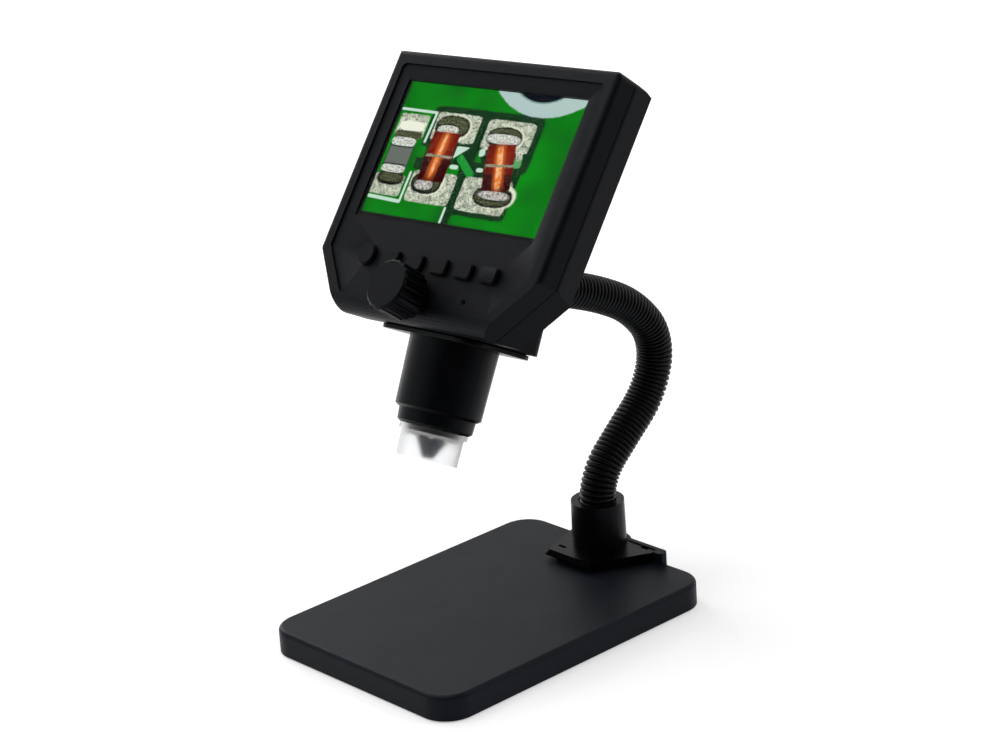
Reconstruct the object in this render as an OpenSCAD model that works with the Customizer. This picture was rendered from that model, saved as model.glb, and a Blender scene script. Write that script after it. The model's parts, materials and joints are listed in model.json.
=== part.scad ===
// Digital microscope with a screen head on a gooseneck and a weighted base.
// Millimetres. X right, Y back, Z up. Origin: centre of the base, on the surface it stands on.

/* [Base] */
// Width of the base over its sides
base_w = 102; // [90:1:120]
// Length of the base, front to back
base_l = 138.6; // [130:1:160]
// Height of the base's top face
base_h = 10.4; // [10:0.2:14]
// Corner radius of the base
base_corner = 11.7; // [8:0.1:16]
// Radius of the rounded top edge
base_edge = 1.7; // [1:0.1:2.2]
// Height that the rubber feet stand proud of the underside
foot_proud = 0.5; // [0.4:0.1:1.2]
// Wall thickness of the base shell
base_wall = 2.2; // [1.8:0.1:3]
// Reach of the riser at the back, from the middle to the right
riser_right = 28; // [26:0.5:30]
// Reach of the riser from the middle to the left
riser_left = 19.6; // [19:0.1:28]
// Height of the socket plate above the base
riser_h = 4; // [3:0.5:5]

/* [Post] */
// Distance of the post's axis behind the centre of the base
post_y = 61; // [58:0.5:61]
// Top of the post above the table
post_top = 33; // [32:0.5:40]
// Radius of the post at its foot
post_r = 10.9; // [10:0.1:12]
// Bore radius of the post
post_bore = 7.6; // [7.6:0.1:8]

/* [Neck] */
// Outer diameter of the corrugated neck
neck_d = 14.6; // [13.8:0.1:14.8]
// Share of the turns that shape the neck
neck_curl = 1; // [0.9:0.01:1.05]
// Gap between two sleeves, which the bend closes
sleeve_gap = 1.8; // [1.6:0.1:2.2]
// Radius of the ball at each joint
ball_r = 3.2; // [3:0.1:3.3]

/* [Head] */
// Width of the head
head_w = 120; // [116:1:126]
// Height of the head above the screen's centre
head_up = 40; // [38:0.5:44]
// Depth of the head from its front face to its rear face
head_d = 20.2; // [18.5:0.1:24]
// Distance of the seam between the shells behind the front face
seam = 9.5; // [9.3:0.1:10]
// Wall thickness of the shells
head_wall = 2.2; // [1.8:0.1:2.6]
// Width of the raised rim at the sides of the front face
rim_w = 5.5; // [4:0.5:6]
// Depth of the field inside the rim
recess = 0.8; // [0.6:0.1:1]
// Radius of the front's top and side edges
front_edge = 2.2; // [1:0.1:2.5]
// Angle that the screen leans back from upright
head_lean = 37.98; // [30:0.5:45]
// Small sideways tilt of the head as it is set on the neck
head_roll = -4.09; // [-6:0.5:6]

/* [Screen] */
// Width of the picture
view_w = 95.04; // [90:0.5:96]
// Height of the picture
view_h = 53.86; // [50:0.5:56]
// Width of the display module
lcd_w = 105.5; // [100:0.5:106]
// Height of the display module
lcd_h = 67.2; // [62:0.5:68]

/* [Controls] */
// Distance between neighbouring keys
key_pitch = 13.3; // [12:0.1:14]
// Radius of the round power key
power_r = 4.2; // [3.5:0.1:4.4]
// Width of an oblong key
key_w = 9.2; // [7:0.1:10]
// Height of an oblong key
key_h = 6.4; // [5:0.1:6.6]
// Travel of a key
key_travel = 0.5; // [0.3:0.1:0.5]
// Radius of the focus knob
knob_r = 9.8; // [8:0.1:10]
// How far the focus knob stands out of the front face
knob_out = 15; // [10:0.5:18]
// Number of grips round the focus knob
knob_grips = 20; // [12:1:24]
// Radius of the brightness wheel
wheel_r = 4; // [3.8:0.1:4]

/* [Barrel] */
// Angle between the barrel and the screen
barrel_tilt = 10.57; // [6:0.5:14]
// Radius of the barrel below the head
barrel_r = 17; // [16:0.5:18]
// Length of the barrel below the head
barrel_len = 28.5; // [26:0.5:36]
// Radius of the clear hood
hood_r = 11.8; // [11.2:0.1:12.2]
// Length of the clear hood below the nose ring
hood_len = 12; // [9:0.5:16]
// Teeth of the focus pinion
pinion_teeth = 14; // [13:1:15]

/* [Hidden] */

$fn = 64;
fit = 0.08;
eps = 0.01;

// Base and post
shelf_z = base_h + 5;
base_corners = [[-1, -1], [1, -1], [1, 1], [-1, 1]];
cover_t = 1.6;
weight_t = 5;
screw_inset = 9;
riser_front = 66.5;
riser_back = base_l / 2 + 1.6;
riser_proud = 0.4;
foot_r = 5;
foot_inset = [20, 12];
plate_front = 43.5;
plate_side = riser_front - 0.1;
plate_tip = [-11.2, 12];
plate_ends = [-19, 23.5];
tail_ends = [-17, 23.5];
plate_chamfer = 1.2;
plate_gap = 1.8;
plate_screw = [12.8, 62];
latch_spots = [[-8.6, 48.6], [8.6, 48.6], [-14.4, riser_back - 3], [18.2, riser_back - 3]];
latch = [4, 1.5];
stud_r = 3.95;
nut_t = 4;
nut_r = 6.2;
ferrule_top = 30.2;

// Neck: eight arcs in the plane X = 0, each with its turn in degrees and its length
neck_start = [post_y, post_top - 2];
neck_turns = [for (t = [49, 2, -34, -56, -22, -8, 3, 3.34]) t * neck_curl];
neck_lengths = [21, 20, 20, 21.5, 20.5, 21.5, 20, 19.5];
links = len(neck_turns);
rod_r = 1.9;
hub_r = 5.5;
cup_r = 4.9;
cup_lip = 1.2;
ball_room = 0.05;
// Length at the far end of the neck that lies inside the head's socket
neck_hidden = 14;

// Head
chamfer_out = 14.8;
side_low = -41.6;
chin_top = -58.8;
chin_half = head_w / 2 - chamfer_out;
side_r = 2.5;
chin_roll = 6;
chin_corner = 5;
seam_gap = [0.4, 0.35];
top_corner = 3;
rear_draft = 1.5;
cover_back = head_d - head_wall;
lcd_front = recess + 0.75;
lcd_t = 2.9;
board_y = 8;
board_t = 1.5;
boss_r = 2.1;
case_screw_spots = [
    [-48, 35.9], [48, 35.9], [-54.2, -38], [54.2, -38], [-38, -57.5], [38, -57.5]
];
key_z = -42.7;
key_x0 = -32.2;
key_front = -1;
key_flange_y = recess + head_wall + 0.05;
mic = [26.2, -54];
mic_r = 0.6;
mic_dish = [1.2, 0.35];
wheel_at = [-57, 6.45, 2.6];
wheel_t = 2.7;
battery_low = 6;
battery_high = 32;
battery_half = 28;
lid_half = 31;
lid_low = 3;
lid_t = 1.2;
port_x = -head_w / 2;
usb_z = 18;
card_z = -18;

// Barrel, in a frame whose +Z runs up the barrel from the underside of the head
barrel_at = [0, 27.9, -61.5];
chin_rise = 0.6;
chin_front = barrel_at.z + chin_rise - barrel_at.y * tan(barrel_tilt);
bulge_half = 28;
bulge_back = 18.1;
bulge_corner = 4.5;
bulge_top = 50;
bulge_slope = 14;
bore_r = 13.5;
inner_tube_r = 15.2;
tube_top = 20.5;
under_plate = [52, 36];
under_top = 0.2;
under_low = -1.5;
under_lip = 1;
nose_low = -34;
socket_z = 28.5;
shaft_at = [1, -56.5];
shaft_r = 2;
pinion_y = 18;
pinion_w = 3.4;
tooth_module = 0.6;
pitch_r = tooth_module * pinion_teeth / 2;
tooth_out = 0.75 * tooth_module;
tooth_in = tooth_out + 0.15;
tooth_play = 0.06;
pressure = 20;
carriage_low = -9.5;
carriage_high = 15;

// ---------- plain shapes ----------

module rounded_rect(w, l, r) {
    for (c = base_corners) translate([c.x * (w / 2 - r), c.y * (l / 2 - r)]) circle(r);
    square([w - 2 * r, l], center = true);
    square([w, l - 2 * r], center = true);
}

module block(w, l, z0, z1, r) {
    translate([0, 0, z0]) linear_extrude(z1 - z0) rounded_rect(w, l, r);
}

module along_y(y0, y1) {
    translate([0, y1, 0]) rotate([90, 0, 0]) linear_extrude(y1 - y0) children();
}

module along_x(half) {
    rotate([90, 0, 90]) translate([0, 0, -half]) linear_extrude(2 * half) children();
}

// A cylinder in the head's frame that runs front to back
module pin_y(at, r, y0, y1) {
    translate([at[0], y1, at[1]]) rotate([90, 0, 0]) cylinder(r = r, h = y1 - y0);
}

// The points of an arc that rounds a corner between the directions to two neighbours
function corner_arc(p, a, b, r, steps = 7) =
    let (u = (a - p) / norm(a - p), v = (b - p) / norm(b - p))
    let (half = acos(u * v) / 2, mid = (u + v) / norm(u + v))
    let (centre = p + mid * r / sin(half), t0 = p + u * r / tan(half), t1 = p + v * r / tan(half))
    let (a0 = atan2(t0.y - centre.y, t0.x - centre.x), a1 = atan2(t1.y - centre.y, t1.x - centre.x))
    let (turn = a1 - a0 > 180 ? a1 - a0 - 360 : a1 - a0 < -180 ? a1 - a0 + 360 : a1 - a0)
    [for (k = [0 : steps]) centre + r * [cos(a0 + turn * k / steps), sin(a0 + turn * k / steps)]];

// A closed outline with its corners rounded; radius 0 leaves a corner sharp
function rounded(points, radii) = [
    for (i = [0 : len(points) - 1])
        let (n = len(points), a = points[(i + n - 1) % n], b = points[(i + 1) % n])
        each radii[i] == 0 ? [points[i]] : corner_arc(points[i], a, b, radii[i])
];

function mirrored(half) = concat(half, [for (i = [len(half) - 1 : -1 : 0]) [-half[i].x, half[i].y]]);

// ---------- the neck's path ----------

function heading(i) = i == 0 ? 0 : heading(i - 1) + neck_turns[i - 1];

// Step in (Y, Z) along an arc that starts with the heading h, turns by t and is l long
function arc_step(h, t, l) = abs(t) < 0.5
    ? l * [sin(h + t / 2), cos(h + t / 2)]
    : let (r = l / (t * PI / 180)) r * [cos(h) - cos(h + t), sin(h + t) - sin(h)];

function joint_at(i) = i == 0
    ? neck_start
    : joint_at(i - 1) + arc_step(heading(i - 1), neck_turns[i - 1], neck_lengths[i - 1]);

// Places children at joint i with +Z along the neck
module at_joint(i) {
    p = joint_at(i);
    translate([0, p[0], p[1]]) rotate([-heading(i), 0, 0]) children();
}

// Sweeps a 2-D shape along segment i, from one distance to another
module bend(i, from, to) {
    t = neck_turns[i];
    r = neck_lengths[i] / (abs(t) * PI / 180);
    k = abs(t) / neck_lengths[i];
    at_joint(i)
        rotate([0, 0, t < 0 ? 180 : 0])
        translate([0, r, 0])
        rotate([90, 0, -90])
        rotate([0, 0, from * k])
        rotate_extrude(angle = (to - from) * k)
        translate([r, 0])
        children();
}

// ---------- where the head stands ----------

// Turns a direction of the head's frame into the base's frame
function turned(v) =
    let (y = v.y * cos(head_lean) + v.z * sin(head_lean))
    let (z = v.z * cos(head_lean) - v.y * sin(head_lean))
    [v.x * cos(head_roll) + z * sin(head_roll), y, z * cos(head_roll) - v.x * sin(head_roll)];

function barrel_point(p) = barrel_at + [
    p.x,
    p.y * cos(barrel_tilt) - p.z * sin(barrel_tilt),
    p.y * sin(barrel_tilt) + p.z * cos(barrel_tilt)
];

neck_tip = joint_at(links);
head_at = [0, neck_tip[0], neck_tip[1]] - turned(barrel_point([0, bulge_back, socket_z]));

module in_head() {
    translate(head_at) rotate([0, head_roll, 0]) rotate([-head_lean, 0, 0]) children();
}

module in_barrel() {
    in_head() translate(barrel_at) rotate([barrel_tilt, 0, 0]) children();
}

// The socket's frame: origin on the rear face of the barrel housing, +Z out of the socket
module in_socket() {
    in_barrel() translate([0, bulge_back, socket_z]) rotate([-90, 0, 0]) children();
}

// ---------- base ----------

// Slab with a rounded outline and a rounded top edge: four corner pucks and two bars
module rounded_slab(w, l, z0, z1, r, edge) {
    module half_profile(half) {
        translate([0, z0]) square([half, z1 - z0 - edge]);
        translate([0, z0]) square([half - edge, z1 - z0]);
        translate([half - edge, z1 - edge]) circle(edge);
    }
    module bar(half) {
        half_profile(half);
        mirror([1, 0, 0]) half_profile(half);
    }
    for (c = base_corners) translate([c.x * (w / 2 - r), c.y * (l / 2 - r), 0])
        rotate_extrude() half_profile(r);
    along_x(w / 2 - r) bar(l / 2);
    rotate([0, 0, 90]) along_x(l / 2 - r) bar(w / 2);
}

// Plan of the socket plate: a pointed front, and a tail that sits in the riser
module socket_outline(grow) {
    polygon([
        [plate_tip[0] - grow * 0.6, plate_front - grow], [plate_tip[1] + grow * 0.6, plate_front - grow],
        [plate_ends[1] + grow, plate_side], [plate_ends[0] - grow, plate_side]
    ]);
    socket_tail(0);
}

module socket_tail(grow) {
    translate([tail_ends[0] - grow, plate_side - 1])
        square([tail_ends[1] - tail_ends[0] + 2 * grow, riser_back - plate_side - 1 + grow]);
    translate([0, post_y]) circle(post_r + 0.2 + grow);
}

module riser_outline() {
    translate([(riser_right - riser_left) / 2, (riser_front + riser_back) / 2])
        rounded_rect(riser_right + riser_left, riser_back - riser_front, 1.5);
    intersection() {
        translate([0, post_y]) circle(post_r + 1.8);
        translate([-riser_left, riser_front]) square(2 * riser_left);
    }
}

module at_corners(dx, dy) {
    for (c = base_corners) translate([c.x * (base_w / 2 - dx), c.y * (base_l / 2 - dy), 0]) children();
}

module at_feet() {
    at_corners(foot_inset.x, foot_inset.y) children();
    children();
}

module at_plate_screws() {
    for (s = [-1, 1]) translate([s * plate_screw.x, plate_screw.y, 0]) children();
}

module base_shell() {
    cover_top = foot_proud + cover_t;
    ceiling = base_h - base_wall;
    color("#1d1e22") {
        difference() {
            union() {
                rounded_slab(base_w, base_l, foot_proud, base_h, base_corner, base_edge);
                translate([0, 0, base_h - 4]) linear_extrude(riser_h + riser_proud + 4) riser_outline();
            }
            // hollow for the weight, and the step that takes the cover
            block(base_w - 2 * base_wall - 1, base_l - 2 * base_wall - 1, 0, ceiling,
                base_corner - base_wall);
            block(base_w - 3, base_l - 3, 0, cover_top + fit, base_corner - 1.5);
            // pocket in the riser for the socket plate
            translate([0, 0, base_h]) linear_extrude(riser_h + 1) socket_tail(fit);
            translate([0, post_y, 0]) cylinder(r = nut_r + 0.4, h = base_h + 1);
            at_plate_screws() cylinder(r = 1.3, h = base_h + 1);
        }
        at_corners(screw_inset, screw_inset) translate([0, 0, cover_top]) difference() {
            cylinder(r = 3, h = ceiling - cover_top + eps);
            translate([0, 0, -1]) cylinder(r = 1.1, h = 6);
        }
    }
}

module base_cover() {
    color("#202124") difference() {
        block(base_w - 3 - 2 * fit, base_l - 3 - 2 * fit, foot_proud, foot_proud + cover_t,
            base_corner - 1.5 - fit);
        at_corners(screw_inset, screw_inset) cylinder(r = 1.3, h = 4);
        at_corners(screw_inset, screw_inset) cylinder(r = 2.4, h = foot_proud + 0.6);
        at_feet() cylinder(r = foot_r, h = foot_proud + 0.8);
    }
}

module steel_weight() {
    z = foot_proud + cover_t;
    color("#8a8d90") translate([0, -9, 0]) difference() {
        block(80, 96, z, z + weight_t, 4);
        for (c = base_corners) translate([c.x * 34, c.y * 42, z - 1]) cylinder(r = 2, h = 8);
    }
}

module base_feet() {
    color("#141414") at_feet() cylinder(r = foot_r, h = foot_proud + 0.8);
}

// Screw along +Z with its slotted head at the bottom
module screw_up(head_r, thread_r, head_h, total) {
    difference() {
        cylinder(r = head_r, h = head_h);
        for (a = [0, 90]) rotate([0, 0, a]) translate([-head_r * 0.6, -0.25, -eps])
            cube([head_r * 1.2, 0.5, head_h * 0.5]);
    }
    cylinder(r = thread_r, h = total);
}

module base_screws() {
    color("#6d7074") {
        at_corners(screw_inset, screw_inset) translate([0, 0, foot_proud]) screw_up(2.2, 1.1, 0.6, 6);
        at_plate_screws() translate([0, 0, base_h - base_wall - 1.2]) screw_up(2.4, 1.2, 1.2, 6);
    }
}

module socket_plate() {
    top = base_h + riser_h;
    color("#18191c") difference() {
        union() {
            // the foot is drawn in, so that a shadow gap shows under the plate's edge
            translate([0, 0, base_h]) linear_extrude(plate_gap) socket_outline(-2.4);
            translate([0, 0, base_h + plate_gap]) linear_extrude(riser_h - plate_gap - plate_chamfer)
                socket_outline(plate_chamfer);
            translate([0, 0, base_h + plate_gap]) linear_extrude(riser_h - plate_gap - plate_chamfer / 2)
                socket_outline(plate_chamfer / 2);
            translate([0, 0, base_h + plate_gap - eps]) linear_extrude(riser_h - plate_gap + eps)
                socket_outline(0);
            translate([0, post_y, top - 1]) cylinder(r1 = post_r, r2 = post_r - 0.3, h = post_top - top + 1);
        }
        translate([0, post_y, shelf_z]) cylinder(r = post_bore, h = 40);
        translate([0, post_y, 0]) cylinder(r = stud_r + fit, h = shelf_z + 1);
        for (s = latch_spots) translate([s.x, s.y, top]) cube([latch.x, latch.y, 3], center = true);
        at_plate_screws() cylinder(r = 1.2, h = top - 1);
    }
}

// ---------- neck ----------

module neck_ferrule() {
    color("#7d8084") translate([0, post_y, 0]) {
        difference() {
            translate([0, 0, shelf_z + 0.05]) cylinder(r = post_bore - fit, h = ferrule_top - shelf_z - 0.05);
            translate([0, 0, ferrule_top - 8]) cylinder(r = hub_r, h = 9);
        }
        translate([0, 0, base_h - 5]) cylinder(r = stud_r, h = 6 + shelf_z - base_h);
    }
}

module neck_nut() {
    color("#9a9da1") translate([0, post_y, base_h - 0.1 - nut_t]) difference() {
        cylinder(r = nut_r, h = nut_t, $fn = 6);
        translate([0, 0, -1]) cylinder(r = stud_r, h = nut_t + 2);
    }
}

// Core of segment i: a ball that the segment before it holds, a rod, a hub and a cup.
// The first starts in the ferrule and the last ends in the head's fitting.
module neck_link(i) {
    first = i == 0;
    last = i == links - 1;
    color("#5c5f63") difference() {
        union() {
            if (first) at_joint(0) translate([0, 0, ferrule_top - 8 - neck_start[1]])
                cylinder(r = hub_r, h = neck_start[1] - ferrule_top + 8 + eps);
            if (!first) at_joint(i) sphere(r = ball_r);
            if (!first) bend(i, 0, 5) circle(rod_r);
            bend(i, first ? 0 : 4.6, neck_lengths[i] - (last ? 5 : 4.4)) circle(hub_r);
            if (!last) at_joint(i + 1) translate([0, 0, -4.6]) cylinder(r = cup_r, h = 4.6 + cup_lip);
        }
        if (!last) at_joint(i + 1) sphere(r = ball_r + ball_room);
    }
}

// Outer sleeve of segment i; half of each joint's gap is left open at its ends
module neck_sleeve(i) {
    l = neck_lengths[i];
    from = i == 0 ? -0.5 : sleeve_gap / 2;
    to = i == links - 1 ? l - neck_hidden - 0.5 : l - sleeve_gap / 2;
    color("#17181a") difference() {
        bend(i, from, to) circle(neck_d / 2);
        bend(i, from - 0.5, to + 0.5) circle(hub_r);
    }
}

// Fitting on the end of the neck; it turns in the head's socket
module neck_end() {
    color("#7d8084") difference() {
        in_socket() {
            translate([0, 0, 1.05]) cylinder(r = post_bore - fit, h = neck_hidden - 2);
            translate([0, 0, -5]) cylinder(r = stud_r, h = 7);
        }
        bend(links - 1, neck_lengths[links - 1] - neck_hidden - 2, neck_lengths[links - 1] - 5) circle(hub_r);
    }
}

module socket_nut() {
    color("#9a9da1") in_socket() translate([0, 0, -4.6]) difference() {
        cylinder(r = nut_r, h = 2.2, $fn = 6);
        translate([0, 0, -1]) cylinder(r = stud_r, h = 4.2);
    }
}

module head_socket() {
    color("#18191c") in_socket() difference() {
        union() {
            cylinder(r1 = 11.5, r2 = 10.4, h = neck_hidden);
            translate([0, 0, -head_wall]) cylinder(r = 9 - fit, h = head_wall + eps);
        }
        translate([0, 0, 1]) cylinder(r = post_bore, h = neck_hidden);
        translate([0, 0, -5]) cylinder(r = stud_r + fit, h = 10);
    }
}

// ---------- head: outlines ----------

// Front outline, drawn in by a distance on every side; the chamfers run on to the chin's underside
function head_outline(inset) =
    let (run = chin_top - side_low, n = [-run, -chamfer_out] / norm([run, chamfer_out]))
    let (w = head_w / 2 - inset, low = chin_front + inset)
    let (side = [w, side_low + inset * (1 - n.x) / -n.y])
    let (foot = [head_w / 2 - (inset + (low - side_low) * n.y) / n.x, low])
    let (r = max(top_corner - inset * 0.6, 1), foot_r = max(chin_corner - inset, 1))
    rounded(mirrored([[w, head_up - inset], side, foot]), [r, side_r, foot_r, foot_r, side_r, r]);

// Radius of a front edge of the head; the lip behind the seam is rounder, and the cavity is sharp
function edge_at(inset) = inset == 0 ? front_edge : inset < 1 ? front_edge + 0.3 : 0;

// Side outline as (Y, Z), drawn in by a distance; the chin's underside lies square to the barrel
function side_outline(front, inset) =
    let (t = tan(barrel_tilt), g = inset / cos(barrel_tilt))
    let (chin = barrel_at.z + chin_rise + g)
    let (back = head_d - inset, top = head_up - inset, block_back = 25 - inset)
    let (under = [block_back, chin + (block_back - barrel_at.y) * t])
    let (corner = [front, chin + (front - barrel_at.y) * t])
    let (brow = [front, top], r = edge_at(inset))
    concat(r == 0 ? [brow] : corner_arc(brow, [front, 0], [seam, top], r), [
        [seam + 1, top], [back, top - rear_draft],
        [back, -46 + inset], [block_back - 2.5, -50 + inset],
        under
    ], corner_arc(corner, under, [front, 0], chin_roll - inset));

module head_solid(inset, front, back) {
    intersection() {
        along_y(front - eps, back) polygon(head_outline(inset));
        along_x(head_w) polygon(side_outline(front, inset));
        translate([0, 0, -90]) linear_extrude(150) polygon(rounded(mirrored([
            [head_w / 2 - inset, front],
            [head_w / 2 - inset, seam + 1],
            [head_w / 2 - inset - rear_draft, head_d]
        ]), [edge_at(inset), 0, 0, 0, 0, edge_at(inset)]));
    }
}

// Housing of the barrel on the back of the head, in the barrel's frame
module bulge(inset, z0) {
    half = bulge_half - inset;
    back = bulge_back - inset;
    intersection() {
        translate([0, 0, z0]) linear_extrude(90) polygon(rounded(
            [[half, -12], [half, back], [-half, back], [-half, -12]],
            [0, bulge_corner - inset, bulge_corner - inset, 0]
        ));
        along_x(bulge_half + 1) polygon([
            [-12, z0], [back, z0], [back, bulge_top - inset],
            [back - bulge_slope * 1.4, bulge_top + bulge_slope - inset],
            [-12, bulge_top + bulge_slope - inset]
        ]);
    }
}

module case_posts(r, y0, y1) {
    for (s = case_screw_spots) pin_y(s, r, y0, y1);
}

// ---------- head: shells ----------

function key_x(i) = key_x0 + key_pitch * i;

module key_outline(i, grow) {
    translate([key_x(i), key_z]) {
        if (i == 0) circle(power_r + grow);
        else rounded_rect(key_w + 2 * grow, key_h + 2 * grow, 1.8 + grow);
    }
}

module front_shell() {
    color("#1c1d21") in_head() difference() {
        union() {
            difference() {
                union() {
                    head_solid(0, 0, seam - seam_gap[1]);
                    head_solid(seam_gap[0], 0, seam);
                }
                head_solid(head_wall, recess + head_wall, seam + 1);
            }
            intersection() {
                case_posts(boss_r, recess + head_wall - eps, seam);
                head_solid(0.5, 0, seam);
            }
            pin_y(shaft_at, 6, recess + head_wall - eps, 7);
        }
        // field inside the rim
        along_y(-1, recess) polygon(rounded(
            mirrored([
                [head_w / 2 - rim_w, head_up - rim_w], [head_w / 2 - rim_w, side_low],
                [chin_half - rim_w, chin_top + 0.2]
            ]),
            [2, 2, 2, 2, 2, 2]
        ));
        along_y(-1, 8) square([view_w + 2.4, view_h + 2.4], center = true);
        for (i = [0 : 5]) along_y(-1, 8) key_outline(i, fit);
        pin_y(mic, mic_r, -1, 8);
        pin_y(mic, mic_dish[0], -1, recess + mic_dish[1]);
        pin_y(shaft_at, 4, -1, 8);
        case_posts(0.8, 4, seam + 1);
        translate([wheel_at.x - 6, wheel_at.y - wheel_t / 2 - 0.2, wheel_at.z - wheel_r - 0.3])
            cube([6, wheel_t + 0.4, 2 * wheel_r + 0.6]);
    }
}

module rear_shell() {
    color("#1a1b1e") in_head() difference() {
        union() {
            intersection() {
                head_solid(0, 0, head_d);
                along_y(seam, 90) square(200, center = true);
            }
            intersection() {
                translate(barrel_at) rotate([barrel_tilt, 0, 0]) bulge(0, chin_rise);
                along_y(seam, 90) square(200, center = true);
            }
        }
        difference() {
            union() {
                head_solid(head_wall, 0, head_d - head_wall);
                intersection() {
                    translate(barrel_at) rotate([barrel_tilt, 0, 0]) bulge(head_wall, chin_rise + head_wall);
                    along_y(seam - 1, 90) square(200, center = true);
                }
            }
            case_posts(2.9, seam, head_d);
        }
        // screws go in from the back, their heads sunk
        case_posts(1, seam - 1, head_d);
        case_posts(2.3, seam + 4, head_d + 4);
        // battery bay and the track of its cover
        along_y(11, head_d) translate([-battery_half - 0.5, battery_low - 0.5])
            square([2 * battery_half + 1, battery_high - battery_low + 1]);
        along_y(head_d - lid_t - fit, head_d + 1) translate([-lid_half - fit, lid_low - fit])
            square([2 * (lid_half + fit), head_up]);
        // inlets on the left side
        translate([port_x - 1, board_y + board_t, usb_z - 4]) cube([6, 3.2, 8]);
        translate([port_x - 1, board_y + board_t, card_z - 6]) cube([6, 2.2, 12]);
        // barrel and socket
        translate(barrel_at) rotate([barrel_tilt, 0, 0]) {
            translate([0, 0, -5]) cylinder(r = inner_tube_r + fit, h = 12);
            translate([0, bulge_back - head_wall - 1, socket_z]) rotate([-90, 0, 0]) cylinder(r = 9, h = 6);
        }
    }
}

module screen_window() {
    color("#20242a", 0.5) in_head() along_y(recess, lcd_front - 0.05)
        square([view_w + 2.4 - 2 * fit, view_h + 2.4 - 2 * fit], center = true);
}

module lcd_panel() {
    color("#2f9e3a") in_head() difference() {
        union() {
            along_y(lcd_front, recess + head_wall + 0.05)
                square([view_w + 2, view_h + 2], center = true);
            along_y(recess + head_wall + 0.05, recess + head_wall + 0.05 + lcd_t)
                square([lcd_w, lcd_h], center = true);
        }
        for (s = [-1, 1]) translate([s * lcd_w / 2, 5, -lcd_h / 2 + 2]) cube([2, 3, 2], center = true);
    }
}

module main_board() {
    color("#14532d") in_head() {
        along_y(board_y, board_y + board_t) {
            translate([-54.5, -30]) square([109, 63]);
            translate([-50, -49]) square([100, 20]);
            translate([wheel_at.x - 0.4, wheel_at.z - 3.5]) square([4, 7]);
        }
        // spindle of the brightness wheel
        pin_y([wheel_at.x, wheel_at.z], 0.95, wheel_at.y - wheel_t / 2, board_y);
    }
}

module board_chips() {
    y = board_y + board_t;
    color("#222222") in_head() {
        along_y(y, y + 1.2) translate([-12, -14]) square([14, 14]);
        along_y(y, y + 1.0) translate([10, -12]) square([12, 9]);
        along_y(y, y + 1.0) translate([-38, -34]) square([6, 5]);
        along_y(y, y + 1.6) translate([26, -30]) square([5, 5]);
        along_y(y, y + 1.4) for (k = [0 : 3]) translate([-30 + 6 * k, -8]) square([3, 5]);
        pin_y([34, -14], 3, y, y + 1.6);
        pin_y([42, -14], 3, y, y + 1.6);
    }
}

module battery() {
    color("#8e9196") in_head() along_y(11.1, cover_back - 0.2)
        translate([-battery_half, battery_low]) square([2 * battery_half, battery_high - battery_low]);
}

module battery_cover() {
    color("#1a1b1e") in_head() difference() {
        along_y(head_d - lid_t, head_d) translate([-lid_half, lid_low])
            square([2 * lid_half, head_up - lid_low - rear_draft - 0.3]);
        for (k = [0 : 4]) translate([-9, head_d - 0.4, lid_low + 4 + 2 * k]) cube([18, 1, 0.8]);
    }
}

module usb_port() {
    y = board_y + board_t;
    color("#b8bbbf") in_head() translate([port_x + 0.6, y, usb_z - 3.7]) difference() {
        cube([7.5, 2.6, 7.4]);
        translate([-1, 0.4, 0.4]) cube([5.5, 1.8, 6.6]);
    }
    color("#222222") in_head() translate([port_x + 1.2, y + 1.1, usb_z - 2.6]) cube([5, 0.5, 5.2]);
}

module card_slot() {
    y = board_y + board_t;
    color("#b8bbbf") in_head() translate([port_x + 0.6, y, card_z - 7]) difference() {
        translate([2, 0, 0]) cube([14, 1.7, 14]);
        translate([-1, 0.4, 1]) cube([15, 0.9, 12]);
    }
}

module case_screws() {
    color("#55585c") in_head() for (s = case_screw_spots) {
        difference() {
            pin_y(s, 2, seam + 4, seam + 5.6);
            for (a = [0, 90]) translate([s[0], seam + 5.6, s[1]]) rotate([0, a, 0])
                cube([2.4, 1, 0.5], center = true);
        }
        pin_y(s, 0.78, 4.4, seam + 4.1);
    }
}

// ---------- controls ----------

module key_switches() {
    color("#3a3c40") in_head() for (i = [0 : 5]) {
        along_y(key_flange_y + 2.1, board_y) translate([key_x(i), key_z]) square(6, center = true);
        pin_y([key_x(i), key_z], 1.7, key_flange_y + 0.85 + key_travel, board_y);
    }
}

// A key: cap through the front shell, flange behind it and a stem that presses the switch
module key(i) {
    color("#26272b") in_head() {
        along_y(key_front + 0.4, key_flange_y) key_outline(i, 0);
        along_y(key_front, key_flange_y) key_outline(i, -0.4);
        along_y(key_flange_y, key_flange_y + 0.7) key_outline(i, 0.7);
        pin_y([key_x(i), key_z], 1.5, key_flange_y, key_flange_y + 0.8);
    }
}

module brightness_wheel() {
    color("#2a2b2e") in_head() translate(wheel_at) rotate([90, 0, 0]) difference() {
        translate([0, 0, -wheel_t / 2]) cylinder(r = wheel_r, h = wheel_t);
        for (k = [0 : 14]) rotate([0, 0, 24 * k]) translate([wheel_r + 0.1, 0, -wheel_t])
            cylinder(r = 0.4, h = 2 * wheel_t, $fn = 16);
        translate([0, 0, -wheel_t]) cylinder(r = 1, h = 2 * wheel_t);
    }
}

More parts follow.
